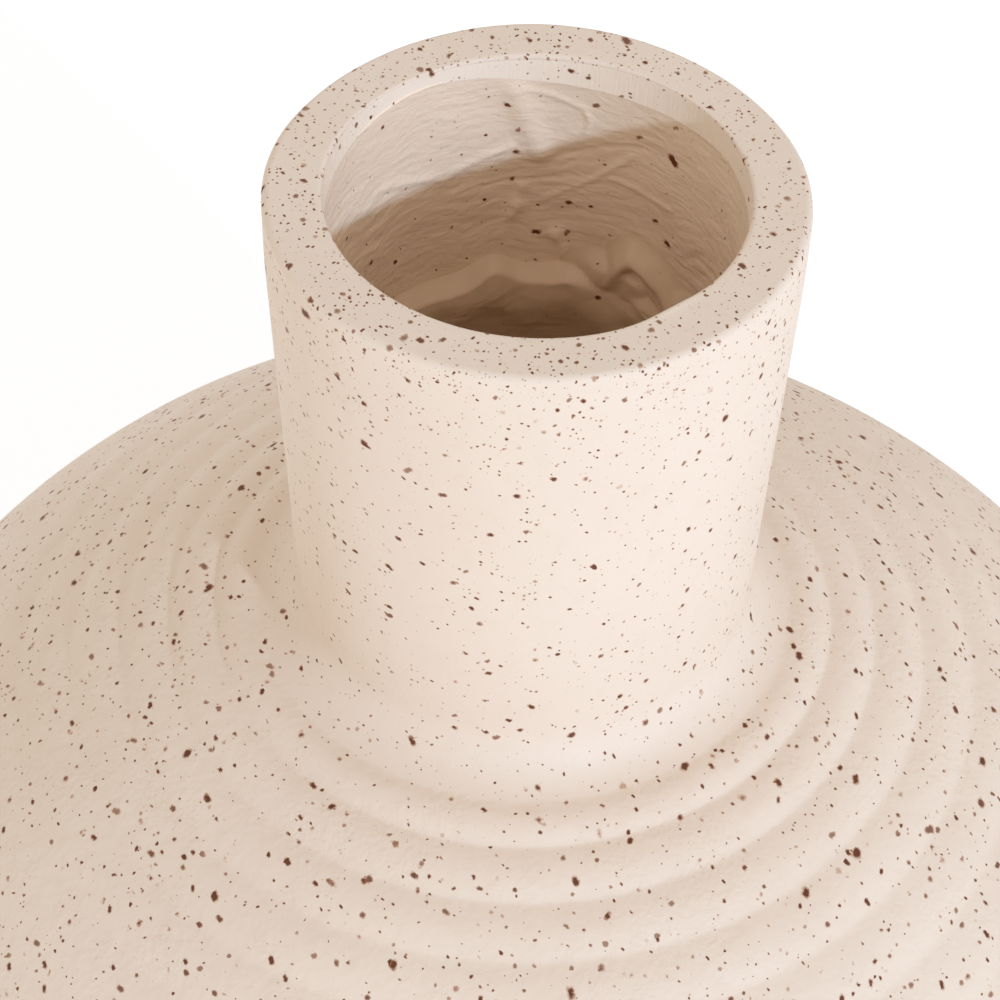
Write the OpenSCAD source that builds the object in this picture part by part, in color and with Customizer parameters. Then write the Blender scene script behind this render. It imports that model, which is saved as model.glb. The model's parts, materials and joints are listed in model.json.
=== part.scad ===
// Stoneware vase: a round body, a shoulder of visible clay coils and a tall straight neck.
// It is built up from clay pieces that are scored, slipped and luted together before firing.
// Origin: centre of the underside of the foot. +Z is the vase's axis.

/* [Body] */
// Largest diameter of the body
body_d = 300; // [260:1:330]
// Thickness of the body's wall
body_wall = 8; // [7:0.5:10]
// Outer diameter of the ring that the vase stands on
foot_d = 130; // [110:1:150]
// Height of the foot ring below the floor slab
foot_h = 4; // [3:0.5:8]
// Width of the foot ring's flat face
foot_w = 10; // [8:0.5:14]
// Thickness of the floor slab
floor_t = 10; // [8:0.5:12]

/* [Neck] */
// Outer diameter at the rim
neck_d = 80; // [78:1:86]
// How much narrower the neck is at its foot, in diameter
neck_taper = 4.2; // [1:0.1:5]
// Height of the neck above the shoulder
neck_h = 87; // [75:1:105]
// Diameter of the mouth
mouth_d = 62; // [56:1:62]
// Radius of the sweep from the neck into the shoulder
sweep_r = 9; // [7:0.5:11]
// Height of the joint inside the neck, measured down from the rim
neck_joint = 47; // [40:1:55]

/* [Rim] */
// Height of the trimmed rim ring
rim_h = 6; // [5.5:0.5:9]
// Rounding of the rim's outer edge
rim_round = 1; // [0.5:0.1:1.5]
// Bevel of the rim's inner edge
mouth_bevel = 0.6; // [0.3:0.1:1]
// How far the neck's bore stands back from the rim ring
rim_step = 0.5; // [0.2:0.1:1]

/* [Coiled shoulder] */
// Width of the coil next to the neck, along the shoulder
coil_w = 7.9; // [7.5:0.1:9]
// How much wider each coil is than the one above it
coil_growth = 0.8; // [0.3:0.05:0.9]
// Height of the top coil's roll above its creases
coil_rise = 1.1; // [0.8:0.1:1.2]
// How much lower each roll is than the one above it
coil_fade = 0.1; // [0:0.01:0.12]

/* [Joints] */
// Width of the tongues on the level joints
tongue_w = 3; // [2:0.5:3]
// Height of the tongues on the level joints
tongue_h = 3; // [2:0.5:4]
// Width of the clay coils pressed over the inner joints
seam_w = 14; // [10:0.5:14]
// Thickness of the clay coils pressed over the inner joints
seam_t = 4; // [2:0.5:5]

/* [Hidden] */
$fn = 96;
coils = 6;
coil_names = [for (i = [1:coils]) str("shoulder_coil_", i)];

glazed = [0.87, 0.80, 0.73];
raw_clay = [0.72, 0.60, 0.48];
foot_bevel = 0.8;

body_r = body_d / 2;
inner_r = body_r - body_wall;
// The body is a sphere; this is the height of its centre
body_z = foot_h + sqrt(pow(body_r, 2) - pow(foot_d / 2, 2));
floor_z = foot_h + floor_t;

neck_r = neck_d / 2;
neck_foot_r = (neck_d - neck_taper) / 2;
mouth_r = mouth_d / 2;
bore_r = mouth_r + rim_step;

// Tilt is the angle from the axis at the sphere's centre. The sweep touches the sphere at this one
neck_tilt = asin((neck_foot_r + sweep_r) / (body_r + sweep_r));
sweep_z = body_z + (body_r + sweep_r) * cos(neck_tilt);
rim_z = body_z + body_r * cos(neck_tilt) + neck_h;
ring_z = rim_z - rim_h;
joint_z = rim_z - neck_joint;

// Point of the profile at a tilt and a distance from the sphere's centre
function at(tilt, dist) = [dist * sin(tilt), body_z + dist * cos(tilt)];

// Outer radius of the neck at a height
function neck_at(z) = neck_foot_r + (neck_r - neck_foot_r) * (z - sweep_z) / (rim_z - rim_round - sweep_z);

// Tilt of the crease under a coil; crease 0 is where the neck starts
function crease(i) = neck_tilt + (coil_w * i + coil_growth * i * (i - 1) / 2) / body_r * 180 / PI;

// Radius of a circle from its chord and the height of its arc
function arc_radius(chord, rise) = (pow(chord / 2, 2) + pow(rise, 2)) / (2 * rise);

// Part of the profile plane between two tilts
module wedge(tilt_a, tilt_b) {
    steps = 4;
    fan = [for (i = [0:steps]) at(tilt_a + (tilt_b - tilt_a) * i / steps, 2 * body_r)];
    polygon(concat([at(0, 0)], fan));
}

module disc(r) translate(at(0, 0)) circle(r, $fn = 360);

// Band of the body's wall between two tilts
module wall_band(tilt_a, tilt_b) {
    difference() {
        intersection() {
            disc(body_r);
            wedge(tilt_a, tilt_b);
        }
        disc(inner_r);
    }
}

// Tongue of a level joint, centred in the wall between two radii
module tongue(r_in, r_out, z) {
    translate([(r_in + r_out - tongue_w) / 2, z]) square([tongue_w, tongue_h]);
}

module waist_tongue() tongue(inner_r, body_r, body_z);

// This one hangs from the bowl into the slab
module floor_tongue() {
    inside = sqrt(pow(inner_r, 2) - pow(body_z - floor_z, 2));
    outside = sqrt(pow(body_r, 2) - pow(body_z - floor_z, 2));
    tongue(inside, outside, floor_z - tongue_h);
}

module neck_tongue() tongue(bore_r, neck_at(joint_z), joint_z);

module rim_tongue() tongue(bore_r, neck_at(ring_z), ring_z);

// Flattened clay coil on the inside of the body, over the joint at a tilt
module body_seam(tilt) {
    round_r = arc_radius(seam_w, seam_t);
    intersection() {
        disc(inner_r);
        translate(at(tilt, inner_r + round_r - seam_t)) circle(round_r);
    }
}

module foot_ring() {
    outer = foot_d / 2;
    color(raw_clay) rotate_extrude() polygon([
        [outer - foot_w + foot_bevel, 0],
        [outer - foot_bevel, 0],
        [outer, foot_bevel],
        [outer, foot_h],
        [outer - foot_w, foot_h],
        [outer - foot_w, foot_bevel]
    ]);
}

module floor_slab() {
    color(glazed) rotate_extrude() difference() {
        intersection() {
            disc(body_r);
            translate([0, foot_h]) square([body_r, floor_t]);
        }
        floor_tongue();
    }
}

// Clay coil pressed into the corner between the floor and the wall
module floor_seam() {
    corner = sqrt(pow(inner_r, 2) - pow(body_z - floor_z, 2));
    color(raw_clay) rotate_extrude() intersection() {
        disc(inner_r);
        translate([0, floor_z]) square(body_r);
        translate([corner, floor_z]) circle(seam_w / 2);
    }
}

module lower_bowl() {
    color(glazed) rotate_extrude() {
        difference() {
            wall_band(90, 180);
            translate([0, floor_z - body_r]) square(body_r);
        }
        floor_tongue();
        waist_tongue();
    }
}

module waist_seam() {
    color(raw_clay) rotate_extrude() body_seam(90);
}

module upper_bowl() {
    color(glazed) rotate_extrude() difference() {
        wall_band(crease(coils), 90);
        waist_tongue();
    }
}

// One coil of the shoulder: bevelled joints on both sides and a rolled outer face
module shoulder_coil(i) {
    tilt_a = crease(i - 1);
    tilt_b = crease(i);
    half = (tilt_b - tilt_a) / 2;
    rise = coil_rise - coil_fade * (i - 1) + body_r * (1 - cos(half));
    round_r = arc_radius(2 * body_r * sin(half), rise);
    roll_top = body_r * cos(half) + rise;
    color(glazed) rotate_extrude() difference() {
        intersection() {
            wedge(tilt_a, tilt_b);
            translate(at(tilt_a + half, roll_top - round_r)) circle(round_r);
        }
        disc(inner_r);
    }
}

module collar_seam() {
    color(raw_clay) rotate_extrude() body_seam(neck_tilt);
}

// Foot of the neck: it sweeps out to the first coil and carries the upper neck
module lower_neck() {
    color(glazed) rotate_extrude() {
        difference() {
            polygon([
                at(0, 0),
                [neck_foot_r + sweep_r, sweep_z],
                [neck_foot_r, sweep_z],
                [neck_at(joint_z), joint_z],
                [0, joint_z]
            ]);
            translate([neck_foot_r + sweep_r, sweep_z]) circle(sweep_r);
            disc(inner_r);
            square([bore_r, joint_z]);
        }
        neck_tongue();
    }
}

// Clay coil smeared over the joint inside the neck
module neck_seam() {
    round_r = arc_radius(seam_w, seam_t);
    color(raw_clay) rotate_extrude() intersection() {
        translate([0, joint_z - seam_w]) square([bore_r, 2 * seam_w]);
        translate([bore_r + round_r - seam_t, joint_z]) circle(round_r);
    }
}

module upper_neck() {
    color(glazed) rotate_extrude() {
        difference() {
            polygon([
                [bore_r, joint_z],
                [neck_at(joint_z), joint_z],
                [neck_at(ring_z), ring_z],
                [bore_r, ring_z]
            ]);
            neck_tongue();
        }
        rim_tongue();
    }
}

module rim_ring() {
    round_z = rim_z - rim_round;
    color(glazed) rotate_extrude() difference() {
        union() {
            polygon([
                [mouth_r, ring_z],
                [neck_at(ring_z), ring_z],
                [neck_r, round_z],
                [neck_r - rim_round, round_z],
                [neck_r - rim_round, rim_z],
                [mouth_r + mouth_bevel, rim_z],
                [mouth_r, rim_z - mouth_bevel]
            ]);
            translate([neck_r - rim_round, round_z]) circle(rim_round);
        }
        rim_tongue();
    }
}

foot_ring();
floor_slab();
floor_seam();
lower_bowl();
waist_seam();
upper_bowl();
for (i = [1:coils])
    shoulder_coil(i);
collar_seam();
lower_neck();
neck_seam();
upper_neck();
rim_ring();
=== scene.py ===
"""Looks of the speckled stoneware vase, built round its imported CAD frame. Metres, +Z up."""

import itertools
import json
import math

import bmesh
import bpy
import numpy as np
from mathutils import Matrix, Vector


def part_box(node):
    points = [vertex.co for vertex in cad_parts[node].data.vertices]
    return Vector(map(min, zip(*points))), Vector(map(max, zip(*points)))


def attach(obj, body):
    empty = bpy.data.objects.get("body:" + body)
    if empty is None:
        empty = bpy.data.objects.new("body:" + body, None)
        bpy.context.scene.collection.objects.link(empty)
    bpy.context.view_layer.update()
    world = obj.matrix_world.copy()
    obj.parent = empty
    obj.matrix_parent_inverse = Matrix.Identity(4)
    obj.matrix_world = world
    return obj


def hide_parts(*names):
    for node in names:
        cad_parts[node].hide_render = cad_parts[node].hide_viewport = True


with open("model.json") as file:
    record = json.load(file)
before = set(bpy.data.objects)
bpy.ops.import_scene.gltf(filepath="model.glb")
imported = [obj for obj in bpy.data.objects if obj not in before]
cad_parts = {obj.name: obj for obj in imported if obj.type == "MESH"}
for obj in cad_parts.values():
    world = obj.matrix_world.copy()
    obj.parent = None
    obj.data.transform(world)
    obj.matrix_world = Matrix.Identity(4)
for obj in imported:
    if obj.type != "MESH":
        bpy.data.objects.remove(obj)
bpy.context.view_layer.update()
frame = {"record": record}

MM = 0.001

# ---------------------------------------------------------------- sizes, from the frame

COILS = 6
# The true rim lies this far under the top of the CAD box, so that its relief stays inside the box
CLEAR = 0.02 * MM
MOUTH = next(m for m in frame["record"]["mounts"] if m["name"] == "mouth")

BODY_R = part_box("upper_bowl")[1].x
BODY_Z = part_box("upper_bowl")[0].z
INNER_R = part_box("waist_seam")[1].x
NECK_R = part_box("rim_ring")[1].x
RIM_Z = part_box("rim_ring")[1].z - CLEAR
RING_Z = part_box("rim_ring")[0].z
JOINT_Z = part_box("upper_neck")[0].z
MOUTH_R = MOUTH["dims"]["r_mm"] * MM
BORE_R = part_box("neck_seam")[1].x
FLOOR_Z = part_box("floor_seam")[0].z
FOOT_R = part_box("foot_ring")[1].x
FOOT_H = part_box("foot_ring")[1].z
# Width of the foot ring, from its outer wall to its inner one
FOOT_W = 10 * MM
# Radius of the hollow curve between the neck and the shoulder
SWEEP_R = 9 * MM

# Tilts are angles from the axis at the centre of the body's sphere
NECK_TILT = math.asin(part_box("lower_neck")[1].x / BODY_R)
CREASES = [NECK_TILT] + [
    math.asin(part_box(f"shoulder_coil_{i}")[1].x / BODY_R) for i in range(1, COILS + 1)
]
NECK_FOOT_R = math.sin(NECK_TILT) * (BODY_R + SWEEP_R) - SWEEP_R
SWEEP_Z = BODY_Z + math.cos(NECK_TILT) * (BODY_R + SWEEP_R)
CREASE_Z = BODY_Z + math.cos(NECK_TILT) * BODY_R

# Radii of the rim's outer edge and of the mouth's edge
OUTER_ROUND = 1.3 * MM
INNER_ROUND = 0.9 * MM

# Rise of the top coil's roll above its creases, how much less each next one rises, and how soft
# the creases are
COIL_RISE = 1.10 * MM
COIL_FADE = 0.1 * MM
CREASE_SOFT = 0.28 * MM

# Steps of the turn round the axis, and their angles
AROUND = 512
TURN = np.arange(AROUND) * 2 * math.pi / AROUND


# ---------------------------------------------------------------- noise and hand-made relief


def make_noise(seed):
    """A smooth noise of points in space, about -1 to 1, with one swell per unit."""
    rng = np.random.default_rng(seed)
    order = rng.permutation(256)
    slopes = rng.normal(size=(256, 3))
    slopes /= np.linalg.norm(slopes, axis=1)[:, None]

    def noise(x, y, z):
        points = np.stack(np.broadcast_arrays(x, y, z), axis=-1)
        cell = np.floor(points).astype(int)
        inside = points - cell
        fade = inside**3 * (inside * (inside * 6 - 15) + 10)
        total = np.zeros(points.shape[:-1])
        for corner in itertools.product((0, 1), repeat=3):
            at = (cell + corner) & 255
            pick = order[(order[(order[at[..., 0]] + at[..., 1]) & 255] + at[..., 2]) & 255]
            slope = (slopes[pick] * (inside - corner)).sum(-1)
            total += slope * np.prod(np.where(corner, fade, 1 - fade), axis=-1)
        return 1.6 * total

    return noise


# The potter's hand outside, the dragged slip inside, and lumps of slip
HAND = make_noise(3)
FLOW = make_noise(11)
LUMP = make_noise(29)


def around(noise, swells, row=0.0):
    """Noise along the turn that meets itself, with about that many swells a turn."""
    radius = swells / (2 * math.pi)
    return noise(radius * np.cos(TURN), radius * np.sin(TURN), row)


def smooth_step(low, high, value):
    t = np.clip((value - low) / (high - low), 0, 1)
    return t * t * (3 - 2 * t)


def hump(centre, width, power=2):
    """1 at a place on the turn, in degrees from +X, falling smoothly to 0 on both sides. A higher
    power gives it a flatter top."""
    off = (np.degrees(TURN) - centre + 180) % 360 - 180
    return np.exp(-((off / width) ** power))


def hand_made(x, y, z):
    """How far the potter's surface lies off the true shape: broad swells and soft dents. It is kept
    within the CAD box at the waist and on the rim, and the rim is a little flattened at its back,
    on both sides."""
    broad = HAND(x / 0.070, y / 0.070, z / 0.070)
    soft = HAND(x / 0.021, y / 0.021, z / 0.021)
    fine = HAND(x / 0.006, y / 0.006, z / 0.006)
    on_body = smooth_step(RIM_Z, CREASE_Z, z)
    at_rim = smooth_step(RIM_Z - 12 * MM, RIM_Z, z)
    swell = (0.05 + 0.15 * on_body) * broad + 0.05 * soft + 0.015 * fine
    flattened = 0.22 * (1 - np.cos(4 * TURN)) * smooth_step(0.0, 0.02, y) * at_rim
    level = 0.15 - 0.26 * at_rim - 0.50 * on_body
    return (swell + level - flattened) * MM


# ---------------------------------------------------------------- lines that are turned round the axis
# A line is (r, z, nr, nz): a row for each point along it and a column for each step of the turn.


def spread(*values):
    """The values as rows by turns, whether each is a number, a column of rows or a full grid."""
    rows = max(np.shape(v)[0] if np.ndim(v) == 2 else 1 for v in values)
    return [np.broadcast_to(np.asarray(v, float), (rows, AROUND)).copy() for v in values]


def steps(first, last, pitch):
    """Evenly spaced values from first to last, about a pitch apart, as a column."""
    count = max(2, int(round(abs(last - first) / pitch)) + 1)
    return np.linspace(first, last, count)[:, None]


def joined(*lines):
    """Lines one after another, as one."""
    return [np.concatenate(parts) for parts in zip(*lines)]


def neck_radius(z):
    """Radius of the neck's straight outer wall, which runs evenly from its foot to the rim."""
    top = RIM_Z - MM
    return NECK_FOOT_R + (NECK_R - NECK_FOOT_R) * (z - SWEEP_Z) / (top - SWEEP_Z)


def neck_line(z_from, z_to, pitch=1.5 * MM):
    z = steps(z_from, z_to, pitch)
    return spread(neck_radius(z), z, 1.0, 0.0)


def arc_line(r, z, radius, first, last, pitch=15):
    """Part of a circle round (r, z), between two angles in degrees from straight out."""
    a = np.radians(steps(first, last, pitch))
    return spread(r + radius * np.cos(a), z + radius * np.sin(a), np.cos(a), np.sin(a))


def sweep_line():
    """The hollow curve from the neck's foot out to the first crease."""
    a = steps(0, math.pi / 2 - NECK_TILT, 0.06)
    r = NECK_FOOT_R + SWEEP_R * (1 - np.cos(a))
    return spread(r, SWEEP_Z - SWEEP_R * np.sin(a), np.cos(a), np.sin(a))


def sphere_line(tilt, dist):
    """Points at those tilts and distances from the centre of the body's sphere."""
    nr, nz = np.sin(tilt), np.cos(tilt)
    return spread(dist * nr, BODY_Z + dist * nz, nr, nz)


def crease_tilt(i):
    """Tilt of a crease round the turn. Coils are laid by hand, so all but the first wander a little."""
    wander = 0.0 if i == 0 else 0.3 * MM / BODY_R
    return CREASES[i] + wander * around(HAND, 9, 5.3 * i)


def roll_line(i):
    """The rolled outer face of coil i, from its lower crease to its upper one."""
    t = (1 - np.cos(steps(0, math.pi, math.pi / 26))) / 2
    tilt = crease_tilt(i) + (crease_tilt(i - 1) - crease_tilt(i)) * t
    rise = (COIL_RISE - COIL_FADE * (i - 1)) * (1 + 0.16 * around(HAND, 7, 40 + 3.1 * i))
    arc = rise * (1 - (2 * t - 1) ** 2)
    # The first crease, at the foot of the neck, is the softest
    soft = CREASE_SOFT * (1 + 2.2 * t**3 if i == 1 else 1)
    return sphere_line(tilt, BODY_R + np.sqrt(arc**2 + soft**2) - soft)


def bowl_line(tilt_from, tilt_to, pitch=1.6 * MM):
    """Smooth outer wall. Its first and last rows are short, so that shading runs on past a joint."""
    short = 0.001
    even = steps(0, 1, pitch / BODY_R / abs(np.mean(tilt_to) - np.mean(tilt_from)))
    share = np.concatenate([even[:1], even[:1] + short, even[1:-1], even[-1:] - short, even[-1:]])
    return sphere_line(tilt_from + (tilt_to - tilt_from) * share, BODY_R)


def with_relief(line, relief=hand_made):
    """The line moved along its normals by a function of position, as (r, z)."""
    r, z, nr, nz = line
    lift = relief(r * np.cos(TURN), r * np.sin(TURN), z)
    return r + nr * lift, z + nz * lift


def plain(line):
    """The line as it is, as (r, z)."""
    return line[0], line[1]


def inside_line(tilt_from, tilt_to):
    """The body's smooth inner wall."""
    return sphere_line(steps(tilt_from, tilt_to, 0.04), INNER_R)


# ---------------------------------------------------------------- the rough wall inside the neck


def wrinkles(x, y, z):
    """Slip dragged round the wall by hand: soft broad folds, and patches of fine ridges that wander."""
    climb = 3.5 * MM * x / BORE_R
    drift = 5.5 * MM * FLOW(x / 0.024, y / 0.024, z / 0.017)
    drift = drift + 1.5 * MM * FLOW(x / 0.007, y / 0.007, z / 0.005)
    level = (z - climb + drift) / 0.0022
    ridges = 1 - np.abs(FLOW(x / 0.0075, y / 0.0075, level)) * 1.7
    finer = 1 - np.abs(FLOW(x / 0.0036 + 9, y / 0.0036, level * 2.2)) * 1.7
    patches = 0.10 + 0.90 * smooth_step(-0.25, 0.65, FLOW(x / 0.012, y / 0.012, z / 0.010 + 5))
    folds = LUMP(x / 0.011, y / 0.011, (z - climb + drift) / 0.0055)
    return ((0.15 * ridges + 0.075 * finer) * patches + 0.12 * folds) * MM


def blob(z, angle, depth, width, height):
    """A lump of slip on the wall: its place on the turn and below the rim, and its size."""
    across = hump(angle, math.degrees(width / BORE_R))
    along = np.exp(-(((z - RIM_Z + depth) / height) ** 2))
    return across * along


def stroke(z, start, end, width):
    """A fold along a straight run on the wall, 1 on its crest. Each end is its degrees on the turn and
    its depth below the rim in millimetres, and the width is in millimetres too."""
    out, down = BORE_R / MM * TURN, (RIM_Z - z) / MM
    first = np.array([BORE_R / MM * math.radians(start[0]), start[1]])
    run = np.array([BORE_R / MM * math.radians(end[0]), end[1]]) - first
    share = np.clip(((out - first[0]) * run[0] + (down - first[1]) * run[1]) / (run @ run), 0, 1)
    off = np.hypot(out - first[0] - share * run[0], down - first[1] - share * run[1])
    return np.exp(-((off / width) ** 2))


def path(z, width, *places):
    """A fold that bends from place to place."""
    return np.max([stroke(z, a, b, width) for a, b in zip(places, places[1:])], axis=0)


def drips(z):
    """What slip has left at the back of the wall: a run, a hooked edge, thin folds where a finger
    lifted, a shelf, a scored line, crumbs and the tail of a drip."""
    run = path(z, 2.1, (97.3, 6.8), (94.2, 12.8), (89.6, 19.2))
    hook = path(z, 0.45, (94.5, 6.4), (84.6, 8.1), (77.3, 9.8), (75.6, 12.1), (76.9, 14.2))
    folds = path(z, 0.55, (62.3, 16.6), (73.3, 22.8), (87.7, 28.4))
    folds = folds + path(z, 0.5, (68.8, 22.0), (48.4, 23.4))
    shelf = path(z, 0.8, (139.6, 18.2), (117.7, 22.0), (98.3, 17.6))
    scored = path(z, 0.45, (83.9, 19.4), (67.9, 15.5), (58.5, 14.2))
    crumbs = blob(z, 95.7, 30.0 * MM, 1.3 * MM, 1.4 * MM)
    crumbs = crumbs + 0.8 * blob(z, 97.4, 32.1 * MM, 1.0 * MM, 1.1 * MM)
    crumbs = crumbs + 0.7 * blob(z, 94.4, 26.4 * MM, 0.9 * MM, 1.2 * MM)
    crumbs = crumbs + 0.9 * blob(z, 84.4, 35.5 * MM, 1.4 * MM, 1.2 * MM)
    tail = path(z, 0.9, (84.0, 36.5), (79.4, 42.1))
    raised = 0.85 * run + 0.26 * hook + 0.22 * folds + 0.30 * shelf + 0.7 * crumbs + 0.3 * tail
    return (raised - 0.15 * scored) * MM


def bore_wall(z):
    """Radius of the neck's rough inner wall at each height round the turn. It gets rougher further
    down, and at the back on the left it is flush with the trimmed band."""
    x, y = BORE_R * np.cos(TURN), BORE_R * np.sin(TURN)
    deeper = smooth_step(RING_Z, RING_Z - 8 * MM, z)
    deepest = smooth_step(RIM_Z - 12 * MM, RIM_Z - 26 * MM, z)
    flush = 0.30 * MM * hump(140, 45)
    broad = 0.30 * MM * LUMP(x / 0.018, y / 0.018, z / 0.018) * deeper
    rough = (0.35 + 0.65 * deeper + 0.7 * deepest) * wrinkles(x, y, z)
    return BORE_R - flush - broad - rough - drips(z)


def wall_line(z_from, z_to, pitch):
    """The rough wall between two heights, as (r, z)."""
    z = spread(steps(z_from, z_to, pitch))[0]
    return bore_wall(z), z


# ---------------------------------------------------------------- meshes


def revolved(name, faces, materials):
    """A closed ring-shaped piece that stands for the CAD node of its name, from the faces of its
    section in order: each is (r, z, material number)."""
    r = np.concatenate([face[0] for face in faces])
    z = np.concatenate([face[1] for face in faces])
    kinds = np.concatenate([np.full(len(face[0]), face[2]) for face in faces])
    rows = len(r)
    points = np.stack([r * np.cos(TURN), r * np.sin(TURN), z], axis=-1).reshape(-1, 3)

    column = np.arange(AROUND)
    beside = (column + 1) % AROUND
    quads = []
    for row in range(rows):
        here, there = row * AROUND, (row + 1) % rows * AROUND
        quads.append(np.stack([here + column, there + column, there + beside, here + beside], axis=-1))
    mesh = bpy.data.meshes.new(name)
    mesh.from_pydata(points.tolist(), [], np.concatenate(quads).tolist())
    mesh.polygons.foreach_set("material_index", np.repeat(kinds, AROUND).astype(np.int32))
    for material in materials:
        mesh.materials.append(material)
    merge_and_face_out(mesh)

    piece = bpy.data.objects.new("seen_" + name, mesh)
    bpy.context.scene.collection.objects.link(piece)
    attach(piece, "root")
    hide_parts(name)
    return piece


def merge_and_face_out(mesh):
    """Joins rows that two faces share, turns all faces outward and keeps the corners crisp."""
    same_place = 0.002 * MM
    crisp = math.radians(40)
    work = bmesh.new()
    work.from_mesh(mesh)
    bmesh.ops.remove_doubles(work, verts=work.verts, dist=same_place)
    loose = [edge for edge in work.edges if not edge.link_faces]
    bmesh.ops.delete(work, geom=loose, context="EDGES")
    bmesh.ops.recalc_face_normals(work, faces=work.faces)
    work.to_mesh(mesh)
    work.free()
    mesh.polygons.foreach_set("use_smooth", np.ones(len(mesh.polygons), bool))
    mesh.set_sharp_from_angle(angle=crisp)


# ---------------------------------------------------------------- the pieces, from the top down

# Material numbers of a piece's faces. GLAZE is its first material, whatever that is
GLAZE, WALL, BAND = 0, 1, 2


def band_edge():
    """Height of the ragged lower edge of the trimmed band: it runs out on the left at the back."""
    run_out = 2.6 * hump(125, 32) + 0.9 * hump(25, 14)
    ragged = 0.3 * around(LUMP, 9) + 0.15 * around(LUMP, 30, 7)
    return RING_Z + np.maximum(run_out + ragged + 0.3, 0.1) * MM


def mouth_flat(x, y, z):
    """The mouth's edge is a little flattened at the front, to the right."""
    inside = smooth_step(MOUTH_R + INNER_ROUND, MOUTH_R, np.hypot(x, y))
    return hand_made(x, y, z) + 0.5 * inside * smooth_step(RING_Z, RIM_Z, z) * hump(-51, 10) * MM


def make_rim_ring(materials):
    """The thick flat ring: its outside, its top and the band trimmed inside the mouth."""
    pitch = 0.8 * MM
    outside = neck_line(RING_Z, RIM_Z - OUTER_ROUND, pitch)
    corner = arc_line(NECK_R - OUTER_ROUND, RIM_Z - OUTER_ROUND, OUTER_ROUND, 0, 90)
    across = steps(NECK_R - OUTER_ROUND - 0.1 * MM, MOUTH_R + INNER_ROUND, pitch)
    top = spread(across, RIM_Z, 0.0, 1.0)
    skin = with_relief(joined(outside, corner, top))
    lip = arc_line(MOUTH_R + INNER_ROUND, RIM_Z - INNER_ROUND, INNER_ROUND, 90, 180)
    edge = with_relief(lip, mouth_flat)
    share = steps(0, 1, 1 / 12)
    band = spread(MOUTH_R, (RIM_Z - INNER_ROUND) * (1 - share) + band_edge() * share, -1.0, 0.0)
    trimmed = with_relief(band, mouth_flat)
    below = band_edge() * (1 - share) + RING_Z * share
    wall = bore_wall(below), below
    faces = [(*skin, GLAZE), (*edge, GLAZE), (*trimmed, BAND), (*wall, WALL)]
    return revolved("rim_ring", faces, materials)


def make_upper_neck(materials):
    """The straight upper length, rough inside down to the joint."""
    outside = with_relief(neck_line(JOINT_Z, RING_Z))
    inside = wall_line(RING_Z, JOINT_Z, 0.36 * MM)
    return revolved("upper_neck", [(*outside, GLAZE), (*inside, WALL)], materials)


def make_lower_neck(materials):
    """The lower length, with the curve that sweeps out to the shoulder."""
    bottom = BODY_Z + math.sqrt(INNER_R**2 - BORE_R**2)
    sweep = [part[::-1] for part in sweep_line()]
    outside = with_relief(joined(sweep, neck_line(SWEEP_Z, JOINT_Z)))
    inside = wall_line(JOINT_Z, bottom, 0.7 * MM)
    under = plain(inside_line(math.asin(BORE_R / INNER_R), NECK_TILT))
    faces = [(*outside, GLAZE), (*inside, WALL), (*under, WALL)]
    return revolved("lower_neck", faces, materials)


def make_neck_seam(materials):
    """The roll of slip pressed over the joint in the neck, with a fold pushed up at the back. Its
    depths and widths are in millimetres, and the depths are below the rim."""
    lowest = 62
    top = RIM_Z - (38 - 8.5 * hump(55, 17, 4)) * MM
    bottom = RIM_Z - (lowest + 2.0 * around(LUMP, 11, 19)) * MM
    z = top + (bottom - top) * steps(0, 1, 1 / 80)
    depth = (RIM_Z - z) / MM
    crest = 44.8 + 0.5 * around(LUMP, 14, 3) - 2.8 * hump(103, 7) - 2.0 * hump(78, 9)
    roll = smooth_step(crest - 2.4, crest + 0.2, depth) * smooth_step(lowest, crest + 3, depth)
    ridge = (66, 42.5), (62, 37.5), (58.5, 35.6), (53, 36.6), (45, 40.0), (38, 45.0)
    fold = path(z, 2.4, *ridge)
    skirt = path(z, 5.5, *ridge, (60, 44.0), (57, 40.5))
    skirt = skirt * smooth_step(36, 40, depth) * smooth_step(60, 49, depth)
    x, y = BORE_R * np.cos(TURN), BORE_R * np.sin(TURN)
    lumps = 0.32 * LUMP(x / 0.009, y / 0.009, z / 0.009) + 0.10 * LUMP(x / 0.004, y / 0.004, z / 0.004)
    thick = np.maximum(3.1 * roll, np.maximum(3.3 * fold, 2.9 * skirt))
    face = bore_wall(z) - (thick * (1 + lumps) - 0.2) * MM
    back = spread(BORE_R + 0.6 * MM, np.stack([bottom, top]))
    return revolved("neck_seam", [(face, z, GLAZE), (*back, GLAZE)], materials)


def make_coil(i, materials):
    """Coil i of the shoulder, rolled outside and smooth inside."""
    outside = with_relief(roll_line(i))
    inside = plain(inside_line(CREASES[i - 1], CREASES[i]))
    faces = [(*outside, GLAZE), (*inside, WALL)]
    return revolved(f"shoulder_coil_{i}", faces, materials)


def make_upper_bowl(materials):
    """The body's wall from the last coil down to the waist."""
    outside = with_relief(bowl_line(math.pi / 2, crease_tilt(COILS)))
    inside = plain(inside_line(CREASES[COILS], math.pi / 2))
    return revolved("upper_bowl", [(*outside, GLAZE), (*inside, WALL)], materials)


def tilt_at(z, radius):
    """Tilt of a level circle on a sphere round the body's centre."""
    return math.acos((z - BODY_Z) / radius)


def make_lower_bowl(materials):
    """The body's wall from the floor up to the waist."""
    outside = with_relief(bowl_line(tilt_at(FLOOR_Z, BODY_R), math.pi / 2))
    inside = plain(inside_line(math.pi / 2, tilt_at(FLOOR_Z, INNER_R)))
    return revolved("lower_bowl", [(*outside, GLAZE), (*inside, WALL)], materials)


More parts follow.
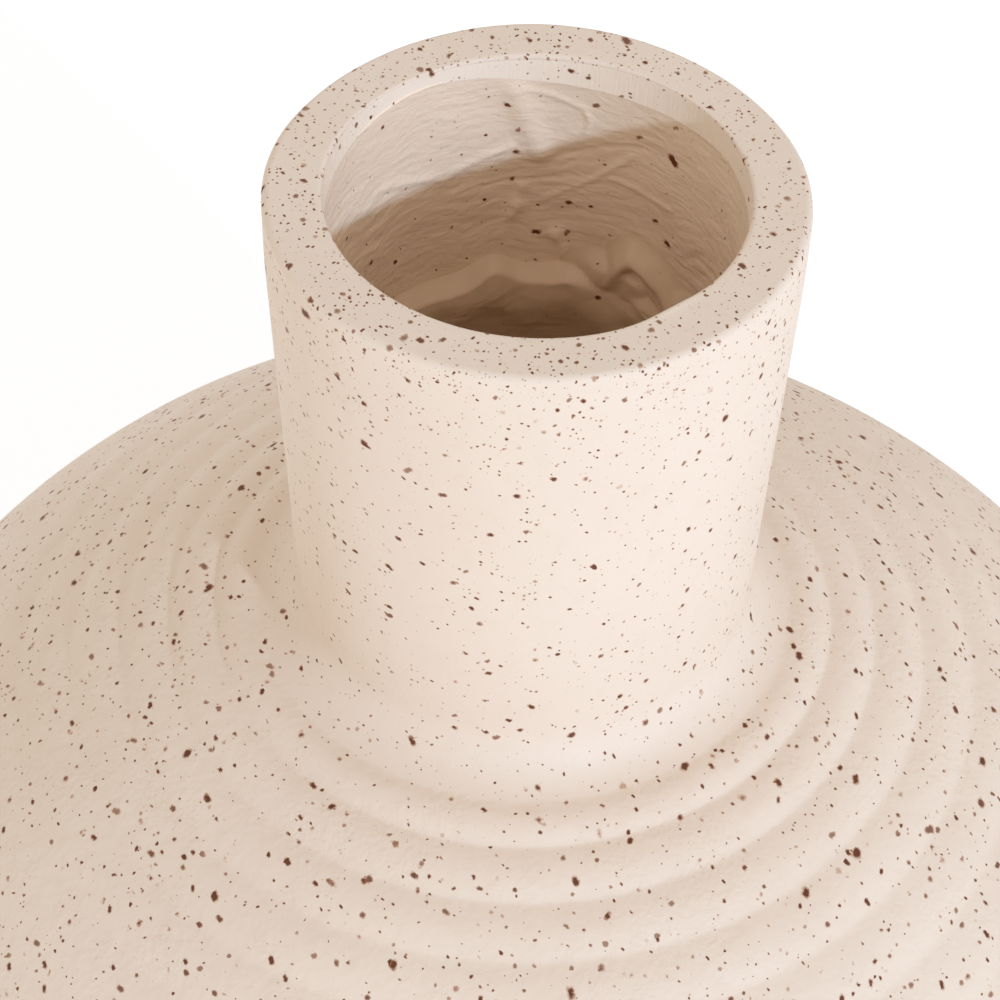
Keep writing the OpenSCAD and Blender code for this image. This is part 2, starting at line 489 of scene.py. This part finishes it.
def make_floor_slab(materials):
    """The slab that the walls stand on, its edge in line with the body's sphere."""
    outside = with_relief(bowl_line(tilt_at(FOOT_H, BODY_R), tilt_at(FLOOR_Z, BODY_R)))
    corner = INNER_R * math.sin(tilt_at(FLOOR_Z, INNER_R))
    top = spread(steps(corner, 0, 6 * MM), FLOOR_Z)
    under = spread(steps(0, FOOT_R - 0.4 * MM, 6 * MM), FOOT_H)
    faces = [(*outside, GLAZE), (*top, WALL), (*under, GLAZE)]
    return revolved("floor_slab", faces, materials)


def make_foot_ring(materials):
    """The turned ring that the vase stands on, with rounded edges and slightly uneven walls."""
    edge = 0.8 * MM
    uneven = 0.25 * around(LUMP, 14, 50) * MM
    outer = FOOT_R - 0.4 * MM + 0.4 * uneven
    inner = FOOT_R - FOOT_W - uneven
    out_wall = spread(outer, steps(FOOT_H, edge, edge))
    out_edge = plain(arc_line(outer - edge, edge, edge, 0, -90))
    in_edge = plain(arc_line(inner + edge, edge, edge, -90, -180))
    in_wall = spread(inner, steps(edge, FOOT_H, edge))
    faces = [(*out_wall, GLAZE), (*out_edge, GLAZE), (*in_edge, GLAZE), (*in_wall, GLAZE)]
    return revolved("foot_ring", faces, materials)


def make_body_seam(name, tilt, row, materials):
    """A flattened coil of clay thumbed over a joint inside the body. Its row picks its own noise."""
    half_width = 7 * MM / INNER_R
    across = steps(-1, 1, 1 / 12)
    sway = 0.8 * MM / INNER_R * around(LUMP, 16, row)
    thick = (3.6 + 0.5 * around(LUMP, 40, row + 9)) * (1 - across**2) - 0.2
    face = plain(sphere_line(tilt + sway + half_width * across, INNER_R - thick * MM))
    back = plain(sphere_line(tilt + sway + half_width * steps(1, -1, 1), INNER_R + 0.6 * MM))
    return revolved(name, [(*face, GLAZE), (*back, GLAZE)], materials)


def make_floor_seam(materials):
    """A coil of clay pressed into the corner between floor and wall."""
    tilt = tilt_at(FLOOR_Z, INNER_R)
    corner = INNER_R * math.sin(tilt)
    size = (7 + 0.5 * around(LUMP, 30, 70)) * MM
    share = steps(0, 1, 1 / 10)
    hollow = 1.6 * MM * np.sin(math.pi * share)
    face_r = corner - size * (1 - share) - hollow * 0.7 + 0.4 * size * share
    face_z = FLOOR_Z + size * share + hollow * 0.7
    down = steps(1, 0, 1)
    back = spread(corner + 0.8 * MM + 0.4 * size * down, FLOOR_Z - 0.3 * MM + size * down)
    faces = [(face_r, face_z, GLAZE), (*back, GLAZE)]
    return revolved("floor_seam", faces, materials)


# ---------------------------------------------------------------- materials


class Tree:
    """Short calls that add nodes to one material. Places on the vase are in millimetres."""

    def __init__(self, name):
        self.material = bpy.data.materials.new(name)
        self.material.use_nodes = True
        self.nodes = self.material.node_tree.nodes
        self.links = self.material.node_tree.links
        self.nodes.clear()
        scale = self.add("ShaderNodeVectorMath", operation="SCALE")
        self.link(self.add("ShaderNodeTexCoord").outputs["Object"], scale.inputs[0])
        scale.inputs["Scale"].default_value = 1 / MM
        self.place = scale.outputs[0]

    def add(self, kind, **settings):
        node = self.nodes.new(kind)
        for key, value in settings.items():
            setattr(node, key, value)
        return node

    def link(self, source, socket):
        """Puts a number, a colour or another node's output into a socket."""
        if isinstance(source, bpy.types.NodeSocket):
            self.links.new(source, socket)
        else:
            socket.default_value = source

    def math(self, operation, a, b=0.0):
        node = self.add("ShaderNodeMath", operation=operation)
        self.link(a, node.inputs[0])
        self.link(b, node.inputs[1])
        return node.outputs[0]

    def vector(self, operation, a, b):
        node = self.add("ShaderNodeVectorMath", operation=operation)
        self.link(a, node.inputs[0])
        self.link(b, node.inputs[3 if operation == "SCALE" else 1])
        return node.outputs["Value" if operation in ("DOT_PRODUCT", "LENGTH") else "Vector"]

    def noise(self, size, detail=2.0, place=None, colour=False):
        """Noise with swells of that size in millimetres."""
        node = self.add("ShaderNodeTexNoise")
        self.link(place or self.place, node.inputs["Vector"])
        node.inputs["Scale"].default_value = 1 / size
        node.inputs["Detail"].default_value = detail
        return node.outputs["Color" if colour else "Factor" if "Factor" in node.outputs else "Fac"]

    def drift(self, size, reach):
        """A noise vector with swells of that size, of up to about half the reach either way."""
        centred = self.vector("SUBTRACT", self.noise(size, 1.0, colour=True), (0.5,) * 3)
        return self.vector("SCALE", centred, reach)

    def between(self, value, low, high, first=0.0, last=1.0):
        """A smooth step from first to last as the value goes from low to high."""
        node = self.add("ShaderNodeMapRange", interpolation_type="SMOOTHSTEP")
        for source, socket in zip((value, low, high, first, last), node.inputs):
            self.link(source, socket)
        return node.outputs[0]

    def mix(self, factor, first, second):
        node = self.add("ShaderNodeMix", data_type="RGBA")
        self.link(factor, node.inputs[0])
        self.link(first, node.inputs[6])
        self.link(second, node.inputs[7])
        return node.outputs[2]

    def bump(self, height, depth, normal=None):
        """Bumps whose height runs from 0 to 1 over that depth in millimetres."""
        node = self.add("ShaderNodeBump")
        node.inputs["Distance"].default_value = depth * MM
        self.link(height, node.inputs["Height"])
        if normal:
            self.link(normal, node.inputs["Normal"])
        return node.outputs[0]

    def finish(self, colour, roughness, normal, specular=0.35):
        shader = self.add("ShaderNodeBsdfPrincipled")
        self.link(colour, shader.inputs["Base Color"])
        self.link(roughness, shader.inputs["Roughness"])
        self.link(normal, shader.inputs["Normal"])
        shader.inputs["Specular IOR Level"].default_value = specular
        output = self.add("ShaderNodeOutputMaterial")
        self.link(shader.outputs[0], output.inputs[0])
        return self.material


# Colours are linear
CREAM = (0.792, 0.632, 0.491, 1)
CREAM_DARK = (0.737, 0.571, 0.428, 1)
# The trimmed band's two colours are partly its own paler clay and partly painted light, lightened for
# light falling on the band
TRIMMED_PLUS_PAINTED_LIGHT = (0.945, 0.775, 0.600, 1)
TRIMMED_PLUS_PAINTED_LIGHT_DARK = (0.925, 0.745, 0.560, 1)
INSIDE = (0.870, 0.672, 0.485, 1)
INSIDE_DARK = (0.810, 0.605, 0.418, 1)
SLIP = (0.740, 0.535, 0.360, 1)
SLIP_DARK = (0.680, 0.480, 0.310, 1)
BARE = (0.560, 0.430, 0.310, 1)
BARE_DARK = (0.470, 0.345, 0.235, 1)
SPECK = (0.130, 0.034, 0.010, 1)
SPECK_EDGE = (0.430, 0.175, 0.065, 1)

# Spacing and radius of tiny, small and large specks in millimetres, how far they are drawn out, and
# the share shown on each part
SPECK_CELLS = (0.8, 1.7, 4.0)
SPECK_RADII = (0.12, 0.27, 0.40)
SPECK_STRETCH = 0.8
ON_RIM = (1.0, 0.85, 0.55)
ON_NECK = (0.30, 0.26, 0.20)
ON_BODY = (0.10, 0.68, 0.80)
ON_WALL = (0.05, 0.12, 0.25)
ON_SLIP = (0.02, 0.03, 0.05)
ON_FOOT = (0.30, 0.40, 0.50)

# Two depths below the rim in millimetres, the deeper first, and what multiplies the share there
RIM_THINNING = (5.5, 0.7), (1, 1.0)
NECK_THINNING = (26, 0.95), (5, 2.2)


def specks(tree, cell, radius, shown):
    """Iron specks as one layer: a share of the cells of that size in millimetres holds one, and each
    has its own size, stretch and strength. Returns (dark core, rusty edge), both 0 to 1."""
    place = tree.vector("ADD", tree.place, tree.drift(radius * 1.8, radius * 1.5))
    cells = tree.add("ShaderNodeTexVoronoi")
    tree.link(place, cells.inputs["Vector"])
    cells.inputs["Scale"].default_value = 1 / cell
    draws = tree.add("ShaderNodeSeparateColor")
    tree.link(cells.outputs["Color"], draws.inputs[0])
    chance, size, strength = draws.outputs

    away = tree.vector("SUBTRACT", place, cells.outputs["Position"])
    heading = tree.vector("SUBTRACT", cells.outputs["Color"], (0.5,) * 3)
    along = tree.math("ABSOLUTE", tree.vector("DOT_PRODUCT", away, heading))
    straight = tree.vector("LENGTH", away, (0,) * 3)
    distance = tree.math("SUBTRACT", straight, tree.math("MULTIPLY", along, SPECK_STRETCH))
    larger = tree.math("MULTIPLY", tree.math("POWER", size, 2.5), radius * 1.1)
    share = tree.math("DIVIDE", distance, tree.math("ADD", larger, radius * 0.45))

    # The smaller the specks of a layer, the fainter the weakest of them
    weakest = min(1.0, radius * 2)
    present = tree.math("LESS_THAN", chance, shown)
    dark = tree.math("MULTIPLY", present, tree.between(strength, 0.0, 0.5, weakest, 1.0))
    core = tree.math("MULTIPLY", tree.between(share, 0.65, 1.05, 1.0, 0.0), dark)
    edge = tree.math("MULTIPLY", tree.between(share, 0.90, 1.35, 0.6, 0.0), present)
    return core, edge


def speckled(tree, base, shown, kept=1.0):
    """The base colour with brown specks over it. Shown is the share of tiny, small and large ones,
    and kept multiplies it."""
    colour = base
    for cell, radius, share in zip(SPECK_CELLS, SPECK_RADII, shown):
        core, edge = specks(tree, cell, radius, tree.math("MULTIPLY", kept, share))
        colour = tree.mix(edge, colour, SPECK_EDGE)
        colour = tree.mix(core, colour, SPECK)
    return colour


def clouded(tree, light, dark):
    """A base colour that drifts a little, in broad clouds and fine mottling."""
    clouds = tree.math("MULTIPLY", tree.between(tree.noise(38, 2.0), 0.35, 0.7), 0.35)
    mottle = tree.math("MULTIPLY", tree.between(tree.noise(3.5, 3.0), 0.45, 0.8), 0.25)
    return tree.mix(tree.math("ADD", clouds, mottle), light, dark)


def thinned(tree, thinning):
    """What multiplies the share of specks shown, as they thin out below the rim."""
    (deep, low), (shallow, high) = thinning
    height = tree.add("ShaderNodeSeparateXYZ")
    tree.link(tree.place, height.inputs[0])
    return tree.between(height.outputs["Z"], RIM_Z / MM - deep, RIM_Z / MM - shallow, low, high)


def glaze(name, shown, peel, thinning=None):
    """Matt cream glaze over iron-speckled clay. Peel is the depth of its orange peel in millimetres,
    and fine pits lie over that in patches."""
    tree = Tree(name)
    kept = thinned(tree, thinning) if thinning else 1.0
    colour = speckled(tree, clouded(tree, CREAM, CREAM_DARK), shown, kept)
    rough = tree.between(tree.noise(6, 2.0), 0.3, 0.7, 0.50, 0.64)
    normal = tree.bump(tree.noise(2.6, 1.0), peel)
    patches = tree.between(tree.noise(14, 2.0), 0.42, 0.66, 0.25, 1.0)
    pitted = tree.math("MULTIPLY", tree.noise(0.9, 2.0), patches)
    normal = tree.bump(pitted, 0.01 + 0.9 * peel, normal)
    return tree.finish(colour, rough, normal)


def wall_slip(name):
    """The rough wall inside: the same clay, less speckled, drawn into fine level wrinkles."""
    tree = Tree(name)
    colour = speckled(tree, clouded(tree, INSIDE, INSIDE_DARK), ON_WALL)
    pulled = tree.vector("ADD", tree.place, tree.drift(9.0, 5.0))
    squashed = tree.vector("MULTIPLY", pulled, (1.0, 1.0, 3.0))
    normal = tree.bump(tree.noise(3.6, 4.0, place=squashed), 0.30)
    normal = tree.bump(tree.noise(0.9, 3.0), 0.10, normal)
    return tree.finish(colour, 0.62, normal)


def trimmed_band_painted_light(name):
    """The band cut clean with a tool inside the mouth, with fine upright marks. Its paler colour is
    partly the trimmed clay's own and partly painted light, lightened to stand in for light falling on
    the band.
    """
    tree = Tree(name)
    colour = speckled(tree, clouded(tree, TRIMMED_PLUS_PAINTED_LIGHT, TRIMMED_PLUS_PAINTED_LIGHT_DARK), ON_NECK)
    upright = tree.vector("MULTIPLY", tree.place, (1.0, 1.0, 0.06))
    combed = tree.bump(tree.noise(0.45, 2.0, place=upright), 0.10)
    return tree.finish(colour, 0.60, tree.bump(tree.noise(2.0, 2.0), 0.05, combed))


def thumbed_slip(name):
    """Smooth slip that has been pressed over a joint by hand."""
    tree = Tree(name)
    colour = speckled(tree, clouded(tree, SLIP, SLIP_DARK), ON_SLIP)
    normal = tree.bump(tree.noise(2.4, 2.0), 0.10)
    return tree.finish(colour, 0.55, normal)


def bare_clay(name):
    """Unglazed clay of the foot: coarser, drier and a little darker, with its iron showing."""
    tree = Tree(name)
    grain = tree.between(tree.noise(0.9, 4.0), 0.3, 0.75)
    colour = speckled(tree, tree.mix(grain, BARE_DARK, BARE), ON_FOOT)
    normal = tree.bump(tree.noise(0.7, 4.0), 0.12)
    return tree.finish(colour, 0.85, normal, specular=0.2)


# ---------------------------------------------------------------- stage, light and camera

FLOOR_SIZE = 14
FLOOR_COLOUR = (0.58, 0.58, 0.58, 1)
FLOOR_GLOW = 0.54
WHITE = (1, 1, 1, 1)
SKY = (1.0, 0.995, 0.99, 1)
SKY_STRENGTH = 0.79
KEY_AZIMUTH, KEY_HEIGHT = 34, 19.3
KEY_STRENGTH = 2.08
KEY_COLOUR = (0.49, 0.68, 1.0)
KEY_SPREAD = math.radians(2.5)


def make_floor():
    """A plain pale floor that stays nearly white in shadow too."""
    bpy.ops.mesh.primitive_plane_add(size=FLOOR_SIZE)
    floor = bpy.context.object
    floor.name = "floor"
    material = bpy.data.materials.new("pale_floor")
    material.use_nodes = True
    shader = material.node_tree.nodes["Principled BSDF"]
    shader.inputs["Base Color"].default_value = FLOOR_COLOUR
    shader.inputs["Roughness"].default_value = 0.9
    shader.inputs["Specular IOR Level"].default_value = 0.0
    shader.inputs["Emission Color"].default_value = WHITE
    shader.inputs["Emission Strength"].default_value = FLOOR_GLOW
    floor.data.materials.append(material)


def make_world():
    """Even light from all round, with plain white behind the vase and past the floor's edge."""
    world = bpy.data.worlds.new("studio")
    world.use_nodes = True
    bpy.context.scene.world = world
    nodes, links = world.node_tree.nodes, world.node_tree.links
    nodes.clear()
    fill = nodes.new("ShaderNodeBackground")
    fill.inputs["Color"].default_value = SKY
    fill.inputs["Strength"].default_value = SKY_STRENGTH
    backdrop = nodes.new("ShaderNodeBackground")
    backdrop.inputs["Color"].default_value = WHITE
    mix = nodes.new("ShaderNodeMixShader")
    links.new(nodes.new("ShaderNodeLightPath").outputs["Is Camera Ray"], mix.inputs[0])
    links.new(fill.outputs[0], mix.inputs[1])
    links.new(backdrop.outputs[0], mix.inputs[2])
    links.new(mix.outputs[0], nodes.new("ShaderNodeOutputWorld").inputs[0])


def direction(azimuth, height):
    """Unit vector from the vase to a light or the camera. Azimuth 0 is the front, and 90 is +X."""
    a, h = math.radians(azimuth), math.radians(height)
    return Vector((math.sin(a) * math.cos(h), -math.cos(a) * math.cos(h), math.sin(h)))


def make_key():
    """The one direct light, cool as daylight, low from the front right."""
    lamp = bpy.data.lights.new("key", "SUN")
    lamp.energy = KEY_STRENGTH
    lamp.angle = KEY_SPREAD
    lamp.color = KEY_COLOUR
    light = bpy.data.objects.new("key", lamp)
    light.rotation_mode = "QUATERNION"
    light.rotation_quaternion = direction(KEY_AZIMUTH, KEY_HEIGHT).to_track_quat("Z", "Y")
    bpy.context.scene.collection.objects.link(light)


# How high the camera stands over the rim's centre in degrees, how far off, how it is turned, and its
# lens and sensor in millimetres
CAMERA_HEIGHT = 40.04
CAMERA_DISTANCE = 9.95 * NECK_R
PITCH, YAW, ROLL = 46.57, -0.80, 1.47
LENS = 98.57
SENSOR = 36


def make_camera():
    """The viewpoint: close over the rim, looking down past it to the shoulder."""
    data = bpy.data.cameras.new("camera")
    data.lens = LENS
    data.sensor_width = SENSOR
    data.clip_start = 0.02
    camera = bpy.data.objects.new("camera", data)
    pitch, yaw, roll = math.radians(PITCH), math.radians(YAW), math.radians(ROLL)
    ahead = Vector((math.sin(yaw) * math.cos(pitch), math.cos(yaw) * math.cos(pitch), -math.sin(pitch)))
    right = Vector((math.cos(yaw), -math.sin(yaw), 0))
    up = right.cross(ahead)
    rolled_right = right * math.cos(roll) + up * math.sin(roll)
    rolled_up = up * math.cos(roll) - right * math.sin(roll)
    place = Vector((0, 0, RIM_Z)) + CAMERA_DISTANCE * direction(0, CAMERA_HEIGHT)
    turn = Matrix((rolled_right, rolled_up, -ahead)).transposed().to_4x4()
    camera.matrix_world = Matrix.Translation(place) @ turn
    bpy.context.scene.collection.objects.link(camera)
    bpy.context.scene.camera = camera


# ---------------------------------------------------------------- the whole vase


def make_vase():
    """All 17 pieces, from the top down, with the materials that they share."""
    wall = wall_slip("wall_slip")
    rim = [glaze("rim_glaze", ON_RIM, 0.04, RIM_THINNING), wall, trimmed_band_painted_light("trimmed_band_painted_light")]
    neck = [glaze("neck_glaze", ON_NECK, 0.05, NECK_THINNING), wall]
    body = [glaze("body_glaze", ON_BODY, 0.18), wall]
    slip = [thumbed_slip("thumbed_slip")]
    make_rim_ring(rim)
    make_upper_neck(neck)
    make_neck_seam(slip)
    make_lower_neck(neck)
    make_body_seam("collar_seam", CREASES[0], 80, slip)
    for i in range(1, COILS + 1):
        make_coil(i, body)
    make_upper_bowl(body)
    make_body_seam("waist_seam", math.pi / 2, 90, slip)
    make_lower_bowl(body)
    make_floor_slab(body)
    make_floor_seam(slip)
    make_foot_ring([bare_clay("bare_clay")])


make_camera()
make_vase()
make_floor()
make_world()
make_key()
bpy.context.scene.view_settings.view_transform = "Standard"
